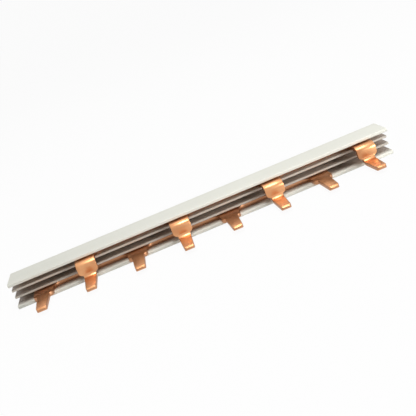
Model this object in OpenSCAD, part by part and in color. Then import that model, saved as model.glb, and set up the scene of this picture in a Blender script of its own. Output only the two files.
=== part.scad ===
// Two-pole comb busbar: an extruded insulating section with two slots, and in each slot a
// stamped copper comb. The lower comb is flat. The teeth of the upper comb are joggled down
// past the inner legs, so that all pins stand in one row, one device module apart.
// X runs along the bar, the pins point to -Y, and the bar lies on its bottom leg at Z = 0.

/* [Pins and pitch] */
// Distance between neighbouring pins, one device module
pitch = 17.8; // [17.5:0.1:18]
// Number of pins in the row, taken by turns from the two combs
pins = 8; // [4:2:12]
// How far the pins stand out of the housing's mouth
pin_reach = 14.4; // [12:0.2:16]
// Width of a pin where it leaves its tab
pin_root_w = 4.5; // [4:0.1:4.8]
// Width of a pin at its rounded tip
pin_tip_w = 3.6; // [3.2:0.1:3.8]
// Corner radius of the tip, seen from above
tip_r = 0.9; // [0.5:0.1:1.2]
// Chamfer on the upper and lower edge of the tip
tip_chamfer = 0.45; // [0.2:0.05:0.6]

/* [Copper combs] */
// Thickness of the copper sheet
copper_t = 1.5; // [1.2:0.1:1.6]
// Inside radius of the joggle's two bends
bend_r = 1.5; // [1:0.1:1.5]
// Distance from the housing's mouth to the front face of the tabs
tab_reach = 3.4; // [3:0.1:4]
// Width of a tab
tab_w = 7.2; // [6.4:0.1:8]
// Corner radius of the lower comb's shoulders, seen from above
flat_shoulder_r = 1.8; // [1:0.1:2]
// Corner radius of the upper comb's shoulders, seen along the pins
joggled_shoulder_r = 1.4; // [1:0.1:1.6]
// Radius of the fillets between a tab and its strip
tab_fillet_r = 3; // [1:0.5:3]
// Radius of the small fillets between a flat tab and its pin
root_fillet_r = 0.6; // [0.3:0.1:0.8]
// How far the strips' front edges lie behind the mouth
strip_setback = 4.4; // [4:0.1:5]

/* [Housing] */
// Distance from the outermost pins' centres to the ends of the housing
end_margin = 10.4; // [8.8:0.1:12]
// Height of the section, across the slots
section_h = 10; // [9.8:0.1:11]
// Depth of the section, from the mouth to the back
section_d = 12.1; // [11.5:0.1:13]
// Thickness of the top and bottom legs
outer_leg_t = 1.3; // [1.2:0.05:1.4]
// Thickness of the two legs between them
inner_leg_t = 0.85; // [0.75:0.05:1]
// How far the inner legs stop behind the mouth
inner_leg_setback = 2.4; // [1.5:0.1:3]
// Thickness of the back wall
back_wall_t = 1.2; // [1:0.1:1.5]
// Height of a slot
slot_h = 1.95; // [1.7:0.05:2]
// Radius of the section's outer corners at the back
back_corner_r = 0.6; // [0.3:0.1:0.8]
// Radius of the outer legs' front corners
outer_nose_r = 0.4; // [0.2:0.05:0.5]
// Radius of the inner legs' front corners
inner_nose_r = 0.3; // [0.15:0.05:0.35]

/* [Hidden] */
$fn = 48;

housing_color = "#E3E4D8";
copper_color = "#C87F4B";

bar_length = (pins - 1) * pitch + 2 * end_margin;
first_pin_x = -(pins - 1) / 2 * pitch;
half_pins = pins / 2;

// Heights: each strip rests on the lower wall of its slot
lower_slot_z = outer_leg_t;
upper_slot_z = section_h - outer_leg_t - slot_h;
lower_comb_z = lower_slot_z;
upper_comb_z = upper_slot_z;

// The strips fill their slots back to the wall
strip_w = section_d - back_wall_t - strip_setback;

// A round bead along each slot's upper wall presses the strip down
bead_r = slot_h - copper_t;
bead_y = strip_setback + 1.5;

// The joggle: two quarter bends and the upright run between them
bend_outer_r = bend_r + copper_t;
run_front_y = -tab_reach;
upper_bend_y = run_front_y + bend_outer_r;
upper_bend_z = upper_comb_z + copper_t - bend_outer_r;
lower_bend_y = run_front_y - bend_r;
lower_bend_z = lower_comb_z + copper_t + bend_r;
shoulder_z = lower_comb_z + copper_t + 0.3;

// Every tooth runs this far into its strip, so that the two are one piece
strip_overlap = 1;
tooth_back_y = strip_setback + strip_overlap;

// Puts the origin under the middle of the bar's box
centre_y = (pin_reach - section_d) / 2;

// ---- Shared shapes -------------------------------------------------------------------

// Extrudes an outline drawn in Y and Z along X, centred
module along_x(length) {
    rotate([90, 0, 90])
        linear_extrude(length, center = true)
            children();
}

// Quarter of a bent strip about the origin, in the quadrant that the two signs name
module quarter_bend(side_y, side_z) {
    intersection() {
        difference() {
            circle(r = bend_outer_r);
            circle(r = bend_r);
        }
        translate([side_y < 0 ? -bend_outer_r : 0, side_z < 0 ? -bend_outer_r : 0])
            square(bend_outer_r);
    }
}

// Side view of a flat stretch from y_start out to the chamfered tip
module pin_side(y_start, z) {
    translate([0, z])
        polygon([
            [y_start, 0],
            [y_start, copper_t],
            [-pin_reach + tip_chamfer, copper_t],
            [-pin_reach, copper_t - tip_chamfer],
            [-pin_reach, tip_chamfer],
            [-pin_reach + tip_chamfer, 0]
        ]);
}

// Pin from above: it tapers from the tab's front face to a tip with round corners
module pin_plan() {
    corner_x = pin_tip_w / 2 - tip_r;
    corner_y = -pin_reach + tip_r;
    polygon([
        [-pin_root_w / 2, 0],
        [-pin_root_w / 2, run_front_y],
        [-pin_tip_w / 2, corner_y],
        [pin_tip_w / 2, corner_y],
        [pin_root_w / 2, run_front_y],
        [pin_root_w / 2, 0]
    ]);
    translate([-corner_x, -pin_reach])
        square([2 * corner_x, tip_r]);
    for (side = [-1, 1])
        translate([side * corner_x, corner_y])
            circle(r = tip_r);
}

// Tab outline from its square end at the top down to two round shoulders on the line y = 0
module tab_outline(length, shoulder_r) {
    corner_x = tab_w / 2 - shoulder_r;
    translate([-tab_w / 2, shoulder_r])
        square([tab_w, length - shoulder_r]);
    translate([-corner_x, 0])
        square([2 * corner_x, length]);
    for (side = [-1, 1])
        translate([side * corner_x, shoulder_r])
            circle(r = shoulder_r);
}

// Fillet between the +X edge of a pin and the round shoulder above it, which starts on
// the line y = 0. Its circle touches the pin's edge and the shoulder's circle.
module root_fillet(shoulder_r) {
    shoulder_x = tab_w / 2 - shoulder_r;
    fillet_x = pin_root_w / 2 + root_fillet_r;
    reach = shoulder_r + root_fillet_r;
    fillet_y = shoulder_r - sqrt(reach * reach - pow(fillet_x - shoulder_x, 2));
    inside_x = pin_tip_w / 2 - tip_r;
    difference() {
        polygon([
            [inside_x, fillet_y],
            [fillet_x, fillet_y],
            [shoulder_x, shoulder_r],
            [inside_x, shoulder_r]
        ]);
        translate([fillet_x, fillet_y])
            circle(r = root_fillet_r);
    }
}

// Fillet in the corner at the origin, filling towards +X and +Y
module fillet(r) {
    difference() {
        square(r);
        translate([r, r])
            circle(r = r);
    }
}

// Fillets where the tab of tooth number i leaves the strip. The strip ends flush with
// the outer edges of its first and last tab, so those two edges have none.
module tab_fillets(i) {
    if (i > 0)
        translate([-tab_w / 2, strip_setback])
            rotate(180)
                fillet(tab_fillet_r);
    if (i < half_pins - 1)
        translate([tab_w / 2, strip_setback])
            rotate(270)
                fillet(tab_fillet_r);
}

// X of tooth number i of a comb whose first tooth is the given pin of the row
function tooth_x(first_pin, i) = first_pin_x + (first_pin + 2 * i) * pitch;

// Flat strip that carries the teeth of one comb
module strip(first_pin, z) {
    start_x = tooth_x(first_pin, 0) - tab_w / 2;
    end_x = tooth_x(first_pin, half_pins - 1) + tab_w / 2;
    translate([start_x, strip_setback, z])
        cube([end_x - start_x, strip_w, copper_t]);
    for (i = [0 : half_pins - 1])
        translate([tooth_x(first_pin, i), 0, z])
            linear_extrude(copper_t)
                tab_fillets(i);
}

// ---- Teeth ---------------------------------------------------------------------------

// Tooth of the lower comb: strip, tab and pin lie in one plane
module flat_tooth() {
    intersection() {
        along_x(tab_w)
            pin_side(tooth_back_y, lower_comb_z);
        linear_extrude(section_h)
            union() {
                translate([0, run_front_y])
                    tab_outline(tooth_back_y - run_front_y, flat_shoulder_r);
                pin_plan();
                for (side = [0, 1])
                    mirror([side, 0])
                        translate([0, run_front_y])
                            root_fillet(flat_shoulder_r);
            }
    }
}

// Side view of a joggled tooth: out of the upper slot, down, and out again as the pin
module joggle_side() {
    translate([upper_bend_y, upper_comb_z])
        square([tooth_back_y - upper_bend_y, copper_t]);
    translate([upper_bend_y, upper_bend_z])
        quarter_bend(-1, 1);
    translate([run_front_y, lower_bend_z])
        square([copper_t, upper_bend_z - lower_bend_z]);
    translate([lower_bend_y, lower_bend_z])
        quarter_bend(1, -1);
    pin_side(lower_bend_y, lower_comb_z);
}

// Tooth of the upper comb: a wide joggled tab with round shoulders, then the pin
module joggled_tooth() {
    intersection() {
        along_x(tab_w)
            joggle_side();
        translate([0, tooth_back_y, 0])
            rotate([90, 0, 0])
                linear_extrude(tooth_back_y - lower_bend_y)
                    translate([0, shoulder_z])
                        tab_outline(section_h - shoulder_z, joggled_shoulder_r);
    }
    intersection() {
        along_x(tab_w)
            joggle_side();
        linear_extrude(lower_bend_z)
            pin_plan();
    }
}

// ---- Sub-parts -----------------------------------------------------------------------

// One leg of the section, from its rounded front edge back to the wall
module leg(z, thickness, front_y, nose_r) {
    back_y = section_d - back_wall_t;
    translate([front_y + nose_r, z])
        square([back_y - front_y - nose_r, thickness]);
    translate([front_y, z + nose_r])
        square([nose_r, thickness - 2 * nose_r]);
    for (nose_z = [z + nose_r, z + thickness - nose_r])
        translate([front_y + nose_r, nose_z])
            circle(r = nose_r);
}

// Back wall with its two outer corners rounded
module back_wall() {
    wall_y = section_d - back_wall_t;
    corner_y = section_d - back_corner_r;
    translate([wall_y, 0])
        square([back_wall_t - back_corner_r, section_h]);
    translate([wall_y, back_corner_r])
        square([back_wall_t, section_h - 2 * back_corner_r]);
    for (corner_z = [back_corner_r, section_h - back_corner_r])
        translate([corner_y, corner_z])
            circle(r = back_corner_r);
}

module housing_section() {
    back_wall();
    leg(0, outer_leg_t, 0, outer_nose_r);
    leg(lower_slot_z + slot_h, inner_leg_t, inner_leg_setback, inner_nose_r);
    leg(upper_slot_z - inner_leg_t, inner_leg_t, inner_leg_setback, inner_nose_r);
    leg(section_h - outer_leg_t, outer_leg_t, 0, outer_nose_r);
    for (slot_z = [lower_slot_z, upper_slot_z])
        translate([bead_y, slot_z + slot_h])
            circle(r = bead_r);
}

module housing() {
    color(housing_color)
        translate([0, centre_y, 0])
            along_x(bar_length)
                housing_section();
}

module upper_comb() {
    color(copper_color)
        translate([0, centre_y, 0]) {
            strip(1, upper_comb_z);
            for (i = [0 : half_pins - 1])
                translate([tooth_x(1, i), 0, 0])
                    joggled_tooth();
        }
}

module lower_comb() {
    color(copper_color)
        translate([0, centre_y, 0]) {
            strip(0, lower_comb_z);
            for (i = [0 : half_pins - 1])
                translate([tooth_x(0, i), 0, 0])
                    flat_tooth();
        }
}

housing();
upper_comb();
lower_comb();
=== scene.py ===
import math

import bmesh
import bpy
from mathutils import Matrix, Vector


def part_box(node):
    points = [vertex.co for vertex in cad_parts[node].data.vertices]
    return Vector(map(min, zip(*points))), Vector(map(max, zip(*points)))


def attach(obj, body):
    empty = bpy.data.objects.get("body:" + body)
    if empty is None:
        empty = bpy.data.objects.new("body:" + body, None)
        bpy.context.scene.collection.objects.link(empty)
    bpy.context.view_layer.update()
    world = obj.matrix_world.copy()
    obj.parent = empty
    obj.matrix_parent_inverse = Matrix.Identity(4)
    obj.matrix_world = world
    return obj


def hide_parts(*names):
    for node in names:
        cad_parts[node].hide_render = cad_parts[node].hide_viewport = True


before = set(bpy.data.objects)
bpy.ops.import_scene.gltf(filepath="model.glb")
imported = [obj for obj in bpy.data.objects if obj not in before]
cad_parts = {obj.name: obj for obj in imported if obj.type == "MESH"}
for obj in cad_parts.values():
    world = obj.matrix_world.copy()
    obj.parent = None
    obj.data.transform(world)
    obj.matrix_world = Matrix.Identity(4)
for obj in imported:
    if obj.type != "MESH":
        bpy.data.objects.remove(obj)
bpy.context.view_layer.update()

mm = 0.001
scene = bpy.context.scene
scene.view_settings.view_transform = "Standard"

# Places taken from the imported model, in metres
housingLow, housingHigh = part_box("housing")
upperLow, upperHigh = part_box("upper_comb")
lowerLow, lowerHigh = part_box("lower_comb")
mouthY = housingLow.y                # front faces of the two outer legs
pinPitch = upperLow.x - lowerLow.x   # the combs are set off by one device module


# Small helpers

def toLinear(hexColour):
    # sRGB hex to the linear colour that sockets take
    digits = hexColour.lstrip("#")
    channels = [int(digits[i:i + 2], 16) / 255 for i in (0, 2, 4)]
    linear = [c / 12.92 if c <= 0.04045 else ((c + 0.055) / 1.055) ** 2.4 for c in channels]
    return (*linear, 1.0)


def addNode(tree, kind, settings=None, links=None):
    # settings go to the input of that name or number, or else to the node's own property
    node = tree.nodes.new(kind)
    for name, value in (settings or {}).items():
        if isinstance(name, int) or name in node.inputs:
            node.inputs[name].default_value = value
        else:
            setattr(node, name, value)
    for name, source in (links or {}).items():
        tree.links.new(source, node.inputs[name])
    return node


def newObject(name, mesh):
    obj = bpy.data.objects.new(name, mesh)
    scene.collection.objects.link(obj)
    return obj


def makePlain(obj):
    # replaces the object's mesh by what its modifiers make of it, and drops them
    bpy.context.view_layer.update()
    depsgraph = bpy.context.evaluated_depsgraph_get()
    mesh = bpy.data.meshes.new_from_object(obj.evaluated_get(depsgraph), depsgraph=depsgraph)
    obj.modifiers.clear()
    obj.data = mesh
    mesh.name = obj.name


def runTree(obj, tree, values):
    modifier = obj.modifiers.new(tree.name, "NODES")
    modifier.node_group = tree
    for item in tree.interface.items_tree:
        if item.in_out == "INPUT" and item.name in values:
            modifier[item.identifier] = values[item.name]
    makePlain(obj)


def finishEdges(obj, width, segments, limit, smoothBelow):
    # rounds the sharp edges, then shades everything smooth except what stays sharp
    bevel = obj.modifiers.new("roundedEdges", "BEVEL")
    bevel.width = width
    bevel.segments = segments
    bevel.limit_method = "ANGLE"
    bevel.angle_limit = math.radians(limit)
    bevel.use_clamp_overlap = False
    bevel.miter_outer = "MITER_ARC"
    makePlain(obj)
    obj.data.shade_smooth()
    obj.data.set_sharp_from_angle(angle=math.radians(smoothBelow))


def roundedLoop(corners, arcStep=12.0):
    # corners are (u, v, radius); each corner with a radius becomes an arc
    loop = []
    for i, (u, v, radius) in enumerate(corners):
        here = Vector((u, v))
        if radius <= 0:
            loop.append(here)
            continue
        before = (Vector(corners[i - 1][:2]) - here).normalized()
        after = (Vector(corners[(i + 1) % len(corners)][:2]) - here).normalized()
        half = before.angle(after) / 2
        centre = here + (before + after).normalized() * radius / math.sin(half)
        start = here + before * radius / math.tan(half) - centre
        turn = math.pi - 2 * half
        side = 1 if start.cross(here - centre) > 0 else -1
        steps = max(2, math.ceil(math.degrees(turn) / arcStep))
        for k in range(steps + 1):
            loop.append(centre + Matrix.Rotation(side * turn * k / steps, 2) @ start)
    return loop


# Camera: low, in front of the pins, tilted so that the bar climbs to the right

cameraPlace = {
    "azimuth": -3.01,       # degrees from straight in front, towards the left
    "elevation": 17.78,     # degrees above the pins' plane
    "roll": -21.66,         # degrees
    "distance": 244.3,      # mm from the point it looks at
    "lookAt": (2.35, -2.0, 8.98),   # mm
    "lens": 60.45,          # mm, on a 36 mm wide sensor
}


def makeCamera():
    azimuth = math.radians(cameraPlace["azimuth"])
    elevation = math.radians(cameraPlace["elevation"])
    toCamera = Vector((math.sin(azimuth) * math.cos(elevation),
                       -math.cos(azimuth) * math.cos(elevation),
                       math.sin(elevation)))
    turned = toCamera.to_track_quat("Z", "Y").to_matrix().to_4x4()
    rolled = Matrix.Rotation(math.radians(cameraPlace["roll"]), 4, "Z")
    place = Vector(cameraPlace["lookAt"]) * mm + toCamera * cameraPlace["distance"] * mm
    data = bpy.data.cameras.new("camera")
    data.lens = cameraPlace["lens"]
    data.sensor_width = 36
    data.clip_start = 0.01
    camera = bpy.data.objects.new("camera", data)
    camera.matrix_world = Matrix.Translation(place) @ turned @ rolled
    scene.collection.objects.link(camera)
    scene.camera = camera


makeCamera()
print("camera placed")


# Rigid PVC, drawn through a die and sawn to length: satin, faintly warm light grey, with
# fine lines along the bar from the die and coarser, duller marks on the two sawn ends

pvcLook = {
    "colour": "#E8E8DE",
    "darker": "#DEDED3",        # slow drift of the colour along the bar
    "driftSize": 30.0,          # mm
    "paintedSlotShade": "#B8A99C",        # painted shade, brownish, on the slots' inner walls under the outer legs
    "paintedShadeFrom": 0.1,          # mm behind the mouth where that starts,
    "paintedShadeTo": 3.8,            # and where it is full
    "outerSkin": 1.2,           # mm from the top and bottom that stay light,
    "backSkin": 1.0,            # and from the back
    "roughness": 0.5,
    "dieLineSpacing": 0.5,      # mm; real ones are finer and wouldn't show
    "dieLineDepth": 0.006,      # mm
    "sawColour": "#EFEFE6",
    "sawMarkSpacing": 0.6,      # mm
    "sawMarkDepth": 0.02,       # mm
}


def makePvc():
    material = bpy.data.materials.new("extrudedRigidPvc")
    material.use_nodes = True
    tree = material.node_tree
    tree.nodes.clear()
    place = addNode(tree, "ShaderNodeTexCoord")
    drift = addNode(tree, "ShaderNodeTexNoise",
                    {"Scale": 1 / (pvcLook["driftSize"] * mm), "Detail": 2.0},
                    {"Vector": place.outputs["Object"]})
    body = addNode(tree, "ShaderNodeMix",
                   {"data_type": "RGBA", 6: toLinear(pvcLook["colour"]),
                    7: toLinear(pvcLook["darker"])},
                   {0: drift.outputs["Fac"]})
    # painted shade: behind the mouth, the slots' inner walls turn brownish grey in place of
    # the shade the outer legs cast; the top, bottom and back stay light
    at = addNode(tree, "ShaderNodeSeparateXYZ", None, {"Vector": place.outputs["Object"]})
    depth = addNode(tree, "ShaderNodeMapRange",
                    {"From Min": mouthY + pvcLook["paintedShadeFrom"] * mm,
                     "From Max": mouthY + pvcLook["paintedShadeTo"] * mm},
                    {"Value": at.outputs["Y"]})
    middle = (housingLow.z + housingHigh.z) / 2
    between = addNode(tree, "ShaderNodeMath",
                      {"operation": "COMPARE", 1: middle,
                       2: middle - pvcLook["outerSkin"] * mm},
                      {0: at.outputs["Z"]})
    beforeBack = addNode(tree, "ShaderNodeMath",
                         {"operation": "LESS_THAN",
                          1: housingHigh.y - pvcLook["backSkin"] * mm},
                         {0: at.outputs["Y"]})
    deep = addNode(tree, "ShaderNodeMath", {"operation": "MULTIPLY"},
                   {0: depth.outputs["Result"], 1: between.outputs[0]})
    paintedSlotShade = addNode(tree, "ShaderNodeMath", {"operation": "MULTIPLY"},
                     {0: deep.outputs[0], 1: beforeBack.outputs[0]})
    bodyWithPaintedShade = addNode(tree, "ShaderNodeMix",
                    {"data_type": "RGBA", 7: toLinear(pvcLook["paintedSlotShade"])},
                    {0: paintedSlotShade.outputs[0], 6: body.outputs[2]})
    # lines along X: the pattern is stretched 200 times in that direction
    stretched = addNode(tree, "ShaderNodeMapping", {"Scale": (0.005, 1.0, 1.0)},
                        {"Vector": place.outputs["Object"]})
    dieLines = addNode(tree, "ShaderNodeTexNoise",
                       {"Scale": 1 / (pvcLook["dieLineSpacing"] * mm), "Detail": 3.0},
                       {"Vector": stretched.outputs["Vector"]})
    sawn = addNode(tree, "ShaderNodeTexWave",
                   {"wave_type": "BANDS", "bands_direction": "DIAGONAL",
                    "Scale": 0.05 / (pvcLook["sawMarkSpacing"] * mm), "Distortion": 2.0,
                    "Detail": 2.0},
                   {"Vector": place.outputs["Object"]})
    facing = addNode(tree, "ShaderNodeSeparateXYZ", None, {"Vector": place.outputs["Normal"]})
    facingX = addNode(tree, "ShaderNodeMath", {"operation": "ABSOLUTE"},
                      {0: facing.outputs["X"]})
    isEnd = addNode(tree, "ShaderNodeMath", {"operation": "GREATER_THAN", 1: 0.9},
                    {0: facingX.outputs[0]})
    colour = addNode(tree, "ShaderNodeMix",
                     {"data_type": "RGBA", 7: toLinear(pvcLook["sawColour"])},
                     {0: isEnd.outputs[0], 6: bodyWithPaintedShade.outputs[2]})
    roughness = addNode(tree, "ShaderNodeMapRange",
                        {"From Min": 0.3, "From Max": 0.7,
                         "To Min": pvcLook["roughness"] - 0.05,
                         "To Max": pvcLook["roughness"] + 0.08},
                        {"Value": dieLines.outputs["Fac"]})
    endRough = addNode(tree, "ShaderNodeMix", {"data_type": "FLOAT", 3: 0.7},
                       {0: isEnd.outputs[0], 2: roughness.outputs["Result"]})
    dieBump = addNode(tree, "ShaderNodeBump",
                      {"Strength": 1.0, "Distance": pvcLook["dieLineDepth"] * mm},
                      {"Height": dieLines.outputs["Fac"]})
    sawHeight = addNode(tree, "ShaderNodeMath", {"operation": "MULTIPLY"},
                        {0: sawn.outputs["Fac"], 1: isEnd.outputs[0]})
    bump = addNode(tree, "ShaderNodeBump",
                   {"Strength": 1.0, "Distance": pvcLook["sawMarkDepth"] * mm},
                   {"Height": sawHeight.outputs[0], "Normal": dieBump.outputs["Normal"]})
    shader = addNode(tree, "ShaderNodeBsdfPrincipled", {"IOR": 1.53},
                     {"Base Color": colour.outputs[2], "Roughness": endRough.outputs[0],
                      "Normal": bump.outputs["Normal"]})
    addNode(tree, "ShaderNodeOutputMaterial", None, {"Surface": shader.outputs["BSDF"]})
    return material


# Cold-rolled copper sheet, sheared and pressed: warm satin metal with faint rolling lines
# along the strip, a thin brown oxide in patches, and duller, rougher sheared edges

copperLook = {
    "fresh": "#DBA172",
    "oxide": "#BC7E56",
    "oxideSize": 7.0,           # mm
    "edge": "#B98866",
    "roughness": 0.34,
    "edgeRoughness": 0.44,
    "rollLineSpacing": 0.6,     # mm; real ones are finer and wouldn't show
    "rollLineDepth": 0.022,     # mm
}


def makeCopper():
    material = bpy.data.materials.new("coldRolledCopper")
    material.use_nodes = True
    tree = material.node_tree
    tree.nodes.clear()
    place = addNode(tree, "ShaderNodeTexCoord")
    patches = addNode(tree, "ShaderNodeTexNoise",
                      {"Scale": 1 / (copperLook["oxideSize"] * mm), "Detail": 4.0,
                       "Roughness": 0.6},
                      {"Vector": place.outputs["Object"]})
    oxide = addNode(tree, "ShaderNodeMapRange",
                    {"From Min": 0.42, "From Max": 0.68, "To Min": 0.0, "To Max": 0.75},
                    {"Value": patches.outputs["Fac"]})
    rolled = addNode(tree, "ShaderNodeMix",
                     {"data_type": "RGBA", 6: toLinear(copperLook["fresh"]),
                      7: toLinear(copperLook["oxide"])},
                     {0: oxide.outputs["Result"]})
    sheared = addNode(tree, "ShaderNodeAttribute", {"attribute_name": "sheared"})
    colour = addNode(tree, "ShaderNodeMix",
                     {"data_type": "RGBA", 7: toLinear(copperLook["edge"])},
                     {0: sheared.outputs["Fac"], 6: rolled.outputs[2]})
    stretched = addNode(tree, "ShaderNodeMapping", {"Scale": (0.02, 1.0, 1.0)},
                        {"Vector": place.outputs["Object"]})
    lines = addNode(tree, "ShaderNodeTexNoise",
                    {"Scale": 1 / (copperLook["rollLineSpacing"] * mm), "Detail": 3.0},
                    {"Vector": stretched.outputs["Vector"]})
    rollRough = addNode(tree, "ShaderNodeMapRange",
                        {"From Min": 0.3, "From Max": 0.7,
                         "To Min": copperLook["roughness"] - 0.06,
                         "To Max": copperLook["roughness"] + 0.08},
                        {"Value": lines.outputs["Fac"]})
    roughness = addNode(tree, "ShaderNodeMix",
                        {"data_type": "FLOAT", 3: copperLook["edgeRoughness"]},
                        {0: sheared.outputs["Fac"], 2: rollRough.outputs["Result"]})
    bump = addNode(tree, "ShaderNodeBump",
                   {"Strength": 1.0, "Distance": copperLook["rollLineDepth"] * mm},
                   {"Height": lines.outputs["Fac"]})
    shader = addNode(tree, "ShaderNodeBsdfPrincipled", {"Metallic": 1.0},
                     {"Base Color": colour.outputs[2], "Roughness": roughness.outputs[0],
                      "Normal": bump.outputs["Normal"]})
    addNode(tree, "ShaderNodeOutputMaterial", None, {"Surface": shader.outputs["BSDF"]})
    return material


pvc = makePvc()
copper = makeCopper()
print("materials made")


# Housing: one section with four legs and a closed back, drawn out to the bar's length

housingShape = {
    "outerLeg": 1.3,        # mm, as all values here
    "innerLeg": 0.85,
    "innerSetback": 2.4,    # inner legs stop this far behind the mouth
    "backWall": 1.2,
    "slot": 1.95,
    "backCorner": 0.6,      # radii
    "outerNose": 0.4,
    "innerNose": 0.3,
    "gapCorner": 0.25,
    "slotCorner": 0.1,
    "bead": 0.44,           # round bead that holds a strip down, and its place
    "beadBehindMouth": 5.9,
    "endRounding": 0.08,    # sawn ends, deburred
}


def sectionCorners():
    shape = housingShape
    depth = (housingHigh.y - housingLow.y) / mm
    height = (housingHigh.z - housingLow.z) / mm
    wall = depth - shape["backWall"]
    inner = shape["innerSetback"]
    lowSlotTop = shape["outerLeg"] + shape["slot"]
    highSlotTop = height - shape["outerLeg"]
    highSlotFloor = highSlotTop - shape["slot"]
    nose, tongue = shape["outerNose"], shape["innerNose"]
    slotCorner, gapCorner = shape["slotCorner"], shape["gapCorner"]
    bead = shape["bead"]
    beadFrom = shape["beadBehindMouth"] - bead
    beadTo = shape["beadBehindMouth"] + bead

    def beadAt(z, first, last):
        round_ = bead * 0.98
        return [(first, z, 0), (first, z - bead, round_),
                (last, z - bead, round_), (last, z, 0)]

    return [
        (0, 0, nose), (depth, 0, shape["backCorner"]),
        (depth, height, shape["backCorner"]), (0, height, nose),
        (0, highSlotTop, nose), *beadAt(highSlotTop, beadFrom, beadTo),
        (wall, highSlotTop, slotCorner), (wall, highSlotFloor, slotCorner),
        (inner, highSlotFloor, tongue), (inner, highSlotFloor - shape["innerLeg"], tongue),
        (wall, highSlotFloor - shape["innerLeg"], gapCorner),
        (wall, lowSlotTop + shape["innerLeg"], gapCorner),
        (inner, lowSlotTop + shape["innerLeg"], tongue), (inner, lowSlotTop, tongue),
        *beadAt(lowSlotTop, beadFrom, beadTo),
        (wall, lowSlotTop, slotCorner), (wall, shape["outerLeg"], slotCorner),
        (0, shape["outerLeg"], nose),
    ]


def makeExtrusionTree():
    # draws a flat section out along X and closes both ends
    tree = bpy.data.node_groups.new("drawnSection", "GeometryNodeTree")
    tree.interface.new_socket("Section", in_out="INPUT", socket_type="NodeSocketGeometry")
    tree.interface.new_socket("Length", in_out="INPUT", socket_type="NodeSocketFloat")
    tree.interface.new_socket("Weld", in_out="INPUT", socket_type="NodeSocketFloat")
    tree.interface.new_socket("Material", in_out="INPUT", socket_type="NodeSocketMaterial")
    tree.interface.new_socket("Profile", in_out="OUTPUT", socket_type="NodeSocketGeometry")
    given = addNode(tree, "NodeGroupInput").outputs
    along = addNode(tree, "ShaderNodeCombineXYZ", None, {"X": given["Length"]})
    drawn = addNode(tree, "GeometryNodeExtrudeMesh", {"mode": "FACES", "Individual": False},
                    {"Mesh": given["Section"], "Offset": along.outputs["Vector"]})
    nearEnd = addNode(tree, "GeometryNodeFlipFaces", None, {"Mesh": given["Section"]})
    joined = addNode(tree, "GeometryNodeJoinGeometry", None,
                     {"Geometry": drawn.outputs["Mesh"]})
    tree.links.new(nearEnd.outputs["Mesh"], joined.inputs["Geometry"])
    welded = addNode(tree, "GeometryNodeMergeByDistance", None,
                     {"Geometry": joined.outputs["Geometry"], "Distance": given["Weld"]})
    real = addNode(tree, "GeometryNodeRealizeInstances", None,
                   {"Geometry": welded.outputs["Geometry"]})
    coloured = addNode(tree, "GeometryNodeSetMaterial", None,
                       {"Geometry": real.outputs["Geometry"], "Material": given["Material"]})
    addNode(tree, "NodeGroupOutput", None, {0: coloured.outputs["Geometry"]})
    return tree


def makeHousing():
    bm = bmesh.new()
    bm.faces.new([bm.verts.new((housingLow.x, housingLow.y + y * mm, housingLow.z + z * mm))
                  for y, z in roundedLoop(sectionCorners(), 15.0)])
    mesh = bpy.data.meshes.new("housingSection")
    bm.to_mesh(mesh)
    bm.free()
    piece = newObject("housingProfile", mesh)
    runTree(piece, makeExtrusionTree(),
            {"Length": housingHigh.x - housingLow.x, "Weld": 0.001 * mm, "Material": pvc})
    finishEdges(piece, housingShape["endRounding"] * mm, 2, 60, 40)
    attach(piece, "root")
    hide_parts("housing")


makeHousing()
print("housing made")


# Combs: each is one sheared blank; the upper comb's teeth are then joggled down

combShape = {
    "teeth": 4,
    "tabReach": 3.4,        # mm, as all values here: housing's mouth to the tabs' front
    "tabWidth": 7.2,
    "tabFillet": 3.0,       # between a tab and its strip
    "stripSetback": {"lower_comb": 4.0, "upper_comb": 5.2},    # front edge behind the mouth
    "pinRoot": 4.5,
    "pinTip": 3.6,
    "tipRadius": 0.9,
    "tipChamfer": 0.45,
    "shoulderRise": 0.66,
    "shoulderRadius": 1.7,
    "rootFillet": 0.55,
    "upperBendRadius": 0.6,     # inside radii of the joggle
    "lowerBendRadius": 1.5,
    "bendSteps": 10,
    "joggledShoulder": 28.0,    # degrees round the lower bend where the shoulders sit
    "edgeRounding": 0.16,   # rolled-over edge that shearing leaves
}

sheet = lowerHigh.z - lowerLow.z    # thickness of the copper
toothSpacing = 2 * pinPitch         # the other comb's teeth stand between
carried = (combShape["tabWidth"] / 2 + combShape["tabFillet"] + 0.5) * mm   # strip on a tooth


def layOutJoggle():
    # distances run along the middle of the sheet, from the strip's back edge to the tip
    upperInside = combShape["upperBendRadius"] * mm
    lowerInside = combShape["lowerBendRadius"] * mm
    upperMiddle, lowerMiddle = upperInside + sheet / 2, lowerInside + sheet / 2
    frontY = mouthY - combShape["tabReach"] * mm
    upperCentre = Vector((frontY + upperInside + sheet, upperHigh.z - upperInside - sheet))
    lowerCentre = Vector((frontY - lowerInside, lowerHigh.z + lowerInside))
    upperFrom = upperHigh.y - upperCentre.x
    upperTo = upperFrom + upperMiddle * math.pi / 2
    lowerFrom = upperTo + upperCentre.y - lowerCentre.y
    lowerTo = lowerFrom + lowerMiddle * math.pi / 2
    return {"upperMiddle": upperMiddle, "lowerMiddle": lowerMiddle,
            "upperCentre": upperCentre, "lowerCentre": lowerCentre,
            "upperFrom": upperFrom, "upperTo": upperTo,
            "lowerFrom": lowerFrom, "lowerTo": lowerTo}


joggle = layOutJoggle()


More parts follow.
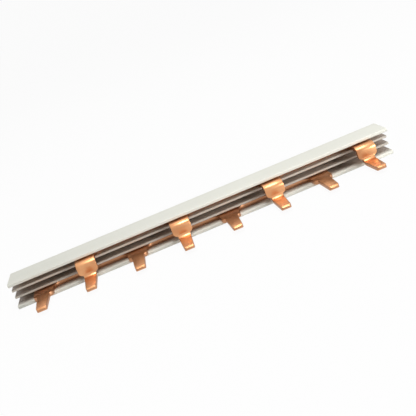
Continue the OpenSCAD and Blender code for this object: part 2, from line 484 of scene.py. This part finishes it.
def alongJoggle(distance):
    # point (y, z) in the middle of the sheet, and the way its upper face looks there
    if distance <= joggle["upperFrom"]:
        return Vector((upperHigh.y - distance, upperHigh.z - sheet / 2)), Vector((0, 1))
    if distance <= joggle["upperTo"]:
        angle = (distance - joggle["upperFrom"]) / joggle["upperMiddle"]
        normal = Vector((-math.sin(angle), math.cos(angle)))
        return joggle["upperCentre"] + normal * joggle["upperMiddle"], normal
    if distance <= joggle["lowerFrom"]:
        down = distance - joggle["upperTo"]
        start = joggle["upperCentre"] - Vector((joggle["upperMiddle"], 0))
        return start - Vector((0, down)), Vector((-1, 0))
    if distance <= joggle["lowerTo"]:
        angle = math.pi / 2 - (distance - joggle["lowerFrom"]) / joggle["lowerMiddle"]
        normal = Vector((-math.sin(angle), math.cos(angle)))
        return joggle["lowerCentre"] - normal * joggle["lowerMiddle"], normal
    out = distance - joggle["lowerTo"]
    return Vector((joggle["lowerCentre"].x - out, lowerHigh.z - sheet / 2)), Vector((0, 1))


def alongFlat(distance):
    return Vector((lowerHigh.y - distance, lowerHigh.z - sheet / 2)), Vector((0, 1))


def blankCorners(strip, shoulder, length, leftEnd, rightEnd):
    # one tooth of the sheared blank with its stretch of strip, in mm; the end teeth's
    # outer edges run straight back to the strip's back edge
    shape = combShape
    tab, root, tip = shape["tabWidth"] / 2, shape["pinRoot"] / 2, shape["pinTip"] / 2

    def down(side, isEnd):
        edge = side * carried / mm
        start = [(side * tab, 0, 0)] if isEnd else [
            (edge, 0, 0), (edge, -strip, 0), (side * tab, -strip, shape["tabFillet"])]
        return start + [
            (side * tab, shape["shoulderRise"] - shoulder, shape["shoulderRadius"]),
            (side * root, -shoulder, shape["rootFillet"]),
            (side * tip, -length, shape["tipRadius"])]

    return down(-1, leftEnd) + down(1, rightEnd)[::-1]


def makeSheet(name, corners, along, stations, length, openAt):
    # gives a flat blank its thickness and lays it along the given path
    chamfer = combShape["tipChamfer"] * mm
    flat = bmesh.new()
    flat.faces.new([flat.verts.new((x * mm, y * mm, 0)) for x, y in roundedLoop(corners)])
    for station in stations:
        bmesh.ops.bisect_plane(flat, geom=flat.verts[:] + flat.edges[:] + flat.faces[:],
                               dist=0.0001 * mm, plane_co=(0, -station, 0),
                               plane_no=(0, 1, 0))
    flat.verts.index_update()
    solid = bmesh.new()
    sheared = solid.faces.layers.float.new("sheared")
    pairs = []
    for vert in flat.verts:
        point, normal = along(-vert.co.y)
        past = max(0.0, -vert.co.y - (length - chamfer))
        half = sheet / 2 - past
        pairs.append([solid.verts.new((vert.co.x, *(point + normal * side * half)))
                      for side in (1, -1)])
    for face in flat.faces:
        order = [vert.index for vert in face.verts]
        solid.faces.new([pairs[i][0] for i in order])
        solid.faces.new([pairs[i][1] for i in reversed(order)])
    for edge in flat.edges:
        if not edge.is_boundary:
            continue
        loop = edge.link_loops[0]
        a, b = loop.vert, loop.link_loop_next.vert
        if any(abs(a.co.x - x) + abs(b.co.x - x) < 0.001 * mm for x in openAt):
            continue
        first, second = pairs[a.index], pairs[b.index]
        rim = solid.faces.new([first[1], second[1], second[0], first[0]])
        rim[sheared] = 1.0
    mesh = bpy.data.meshes.new(name)
    solid.to_mesh(mesh)
    flat.free()
    solid.free()
    return newObject(name, mesh)


def makeCombTree():
    # sets the teeth along the bar, with a link of strip after each but the last
    tree = bpy.data.node_groups.new("combFromTeeth", "GeometryNodeTree")
    for name, kind in (("First Tooth", "Object"), ("Middle Tooth", "Object"),
                       ("Last Tooth", "Object"), ("Link", "Object"), ("Teeth", "Int"),
                       ("Spacing", "Float"), ("First X", "Float"), ("Weld", "Float"),
                       ("Material", "Material")):
        tree.interface.new_socket(name, in_out="INPUT", socket_type="NodeSocket" + kind)
    tree.interface.new_socket("Comb", in_out="OUTPUT", socket_type="NodeSocketGeometry")
    given = addNode(tree, "NodeGroupInput").outputs
    start = addNode(tree, "ShaderNodeCombineXYZ", None, {"X": given["First X"]})
    step = addNode(tree, "ShaderNodeCombineXYZ", None, {"X": given["Spacing"]})
    points = addNode(tree, "GeometryNodeMeshLine", {"mode": "OFFSET"},
                     {"Count": given["Teeth"], "Start Location": start.outputs["Vector"],
                      "Offset": step.outputs["Vector"]})
    index = addNode(tree, "GeometryNodeInputIndex")
    last = addNode(tree, "ShaderNodeMath", {"operation": "SUBTRACT", 1: 1.0},
                   {0: given["Teeth"]})
    isFirst = addNode(tree, "FunctionNodeCompare",
                      {"data_type": "INT", "operation": "EQUAL", 3: 0},
                      {2: index.outputs["Index"]})
    isLast = addNode(tree, "FunctionNodeCompare", {"data_type": "INT", "operation": "EQUAL"},
                     {2: index.outputs["Index"], 3: last.outputs[0]})
    isMiddle = addNode(tree, "FunctionNodeBooleanMath", {"operation": "NOR"},
                       {0: isFirst.outputs[0], 1: isLast.outputs[0]})
    hasLink = addNode(tree, "FunctionNodeBooleanMath", {"operation": "NOT"},
                      {0: isLast.outputs[0]})
    joined = addNode(tree, "GeometryNodeJoinGeometry")
    for name, chosen in (("First Tooth", isFirst), ("Middle Tooth", isMiddle),
                         ("Last Tooth", isLast), ("Link", hasLink)):
        shape = addNode(tree, "GeometryNodeObjectInfo", None, {"Object": given[name]})
        placed = addNode(tree, "GeometryNodeInstanceOnPoints", None,
                         {"Points": points.outputs["Mesh"], "Selection": chosen.outputs[0],
                          "Instance": shape.outputs["Geometry"]})
        tree.links.new(placed.outputs["Instances"], joined.inputs["Geometry"])
    real = addNode(tree, "GeometryNodeRealizeInstances", None,
                   {"Geometry": joined.outputs["Geometry"]})
    welded = addNode(tree, "GeometryNodeMergeByDistance", None,
                     {"Geometry": real.outputs["Geometry"], "Distance": given["Weld"]})
    coloured = addNode(tree, "GeometryNodeSetMaterial", None,
                       {"Geometry": welded.outputs["Geometry"], "Material": given["Material"]})
    addNode(tree, "NodeGroupOutput", None, {0: coloured.outputs["Geometry"]})
    return tree


combTree = makeCombTree()


def makeComb(name, node, firstX, along, stations, shoulder, length):
    strip = (lowerHigh.y - mouthY) / mm - combShape["stripSetback"][node]

    def tooth(label, leftEnd, rightEnd):
        openAt = ([] if leftEnd else [-carried]) + ([] if rightEnd else [carried])
        return makeSheet(name + label,
                         blankCorners(strip, shoulder / mm, length / mm, leftEnd, rightEnd),
                         along, stations, length, openAt)

    linkFrom, linkTo = carried / mm, (toothSpacing - carried) / mm
    sources = {
        "First Tooth": tooth("First", True, False),
        "Middle Tooth": tooth("Middle", False, False),
        "Last Tooth": tooth("Last", False, True),
        "Link": makeSheet(name + "Link",
                          [(linkFrom, 0, 0), (linkFrom, -strip, 0), (linkTo, -strip, 0),
                           (linkTo, 0, 0)],
                          along, [], length, [linkFrom * mm, linkTo * mm]),
    }
    piece = newObject(name, bpy.data.meshes.new(name))
    runTree(piece, combTree, {**sources, "Teeth": combShape["teeth"],
                              "Spacing": toothSpacing, "First X": firstX,
                              "Weld": 0.001 * mm, "Material": copper})
    for source in sources.values():
        bpy.data.meshes.remove(source.data)
    finishEdges(piece, combShape["edgeRounding"] * mm, 2, 55, 35)
    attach(piece, "root")
    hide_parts(node)


def makeCombs():
    halfTab = combShape["tabWidth"] / 2 * mm
    chamfer = combShape["tipChamfer"] * mm
    steps = combShape["bendSteps"]

    flatLength = lowerHigh.y - lowerLow.y
    flatShoulder = lowerHigh.y - mouthY + combShape["tabReach"] * mm
    makeComb("lowerCombSheet", "lower_comb", lowerLow.x + halfTab, alongFlat,
             [flatLength - chamfer], flatShoulder, flatLength)

    joggledLength = joggle["lowerTo"] + joggle["lowerCentre"].x - upperLow.y
    stations = [joggledLength - chamfer]
    for start, end in (("upperFrom", "upperTo"), ("lowerFrom", "lowerTo")):
        for k in range(steps + 1):
            stations.append(joggle[start] + (joggle[end] - joggle[start]) * k / steps)
    joggledShoulder = joggle["lowerFrom"] + \
        joggle["lowerMiddle"] * math.radians(combShape["joggledShoulder"])
    makeComb("upperCombSheet", "upper_comb", upperLow.x + halfTab, alongJoggle,
             stations, joggledShoulder, joggledLength)


makeCombs()
print("combs made")


# Studio: white floor and surroundings, an even world, two soft lamps above the bar and a
# low one on the right that lights its front faces

studio = {
    "worldStrength": 0.27,
    "worldWhite": 0.961,        # to the eye, as the far floor looks, so no horizon shows
    "floorSize": 60.0,          # m
    "floorColour": "#E8E8E8",
    "floorGlow": 0.95,          # share of plain white to the eye; the rest keeps the shadow
    "lamps": {                  # place and size in m, power in W
        "backLamp": {"place": (0.05, 0.30, 0.62), "size": 0.3, "power": 0.6},
        "highLamp": {"place": (0.10, -0.15, 0.72), "size": 0.22, "power": 2.9},
        "sideLamp": {"place": (0.52, -0.48, 0.05), "size": 0.3, "power": 4.2},
    },
}


def seenDirectly(tree):
    # 1 for what the eye sees straight, in metal or through glass; 0 for light on surfaces
    path = addNode(tree, "ShaderNodeLightPath")
    total = addNode(tree, "ShaderNodeMath", {"operation": "ADD"},
                    {0: path.outputs["Is Camera Ray"], 1: path.outputs["Is Glossy Ray"]})
    return addNode(tree, "ShaderNodeMath", {"operation": "ADD", "use_clamp": True},
                   {0: total.outputs[0], 1: path.outputs["Is Transmission Ray"]}).outputs[0]


def makeWorld():
    world = bpy.data.worlds.new("studioWorld")
    scene.world = world
    world.use_nodes = True
    tree = world.node_tree
    tree.nodes.clear()
    lighting = addNode(tree, "ShaderNodeBackground",
                       {"Color": (1, 1, 1, 1), "Strength": studio["worldStrength"]})
    white = addNode(tree, "ShaderNodeBackground",
                    {"Color": (1, 1, 1, 1), "Strength": studio["worldWhite"]})
    both = addNode(tree, "ShaderNodeMixShader", None,
                   {0: seenDirectly(tree), 1: lighting.outputs[0], 2: white.outputs[0]})
    addNode(tree, "ShaderNodeOutputWorld", None, {"Surface": both.outputs[0]})


def makeFloor():
    half = studio["floorSize"] / 2
    mesh = bpy.data.meshes.new("floor")
    mesh.from_pydata([(-half, -half, 0), (half, -half, 0), (half, half, 0), (-half, half, 0)],
                     [], [(0, 1, 2, 3)])
    floor = newObject("floor", mesh)
    material = bpy.data.materials.new("paintedStudioFloor")
    material.use_nodes = True
    tree = material.node_tree
    tree.nodes.clear()
    matt = addNode(tree, "ShaderNodeBsdfDiffuse", {"Color": toLinear(studio["floorColour"])})
    glow = addNode(tree, "ShaderNodeEmission", {"Color": (1, 1, 1, 1), "Strength": 1.0})
    amount = addNode(tree, "ShaderNodeMath", {"operation": "MULTIPLY", 1: studio["floorGlow"]},
                     {0: seenDirectly(tree)})
    both = addNode(tree, "ShaderNodeMixShader", None,
                   {0: amount.outputs[0], 1: matt.outputs[0], 2: glow.outputs[0]})
    addNode(tree, "ShaderNodeOutputMaterial", None, {"Surface": both.outputs[0]})
    mesh.materials.append(material)


def makeLamps():
    for name, lamp in studio["lamps"].items():
        data = bpy.data.lights.new(name, "AREA")
        data.shape = "SQUARE"
        data.size = lamp["size"]
        data.energy = lamp["power"]
        obj = bpy.data.objects.new(name, data)
        place = Vector(lamp["place"])
        obj.matrix_world = Matrix.Translation(place) @ \
            place.to_track_quat("Z", "Y").to_matrix().to_4x4()
        scene.collection.objects.link(obj)


makeWorld()
makeFloor()
makeLamps()
print("studio made")
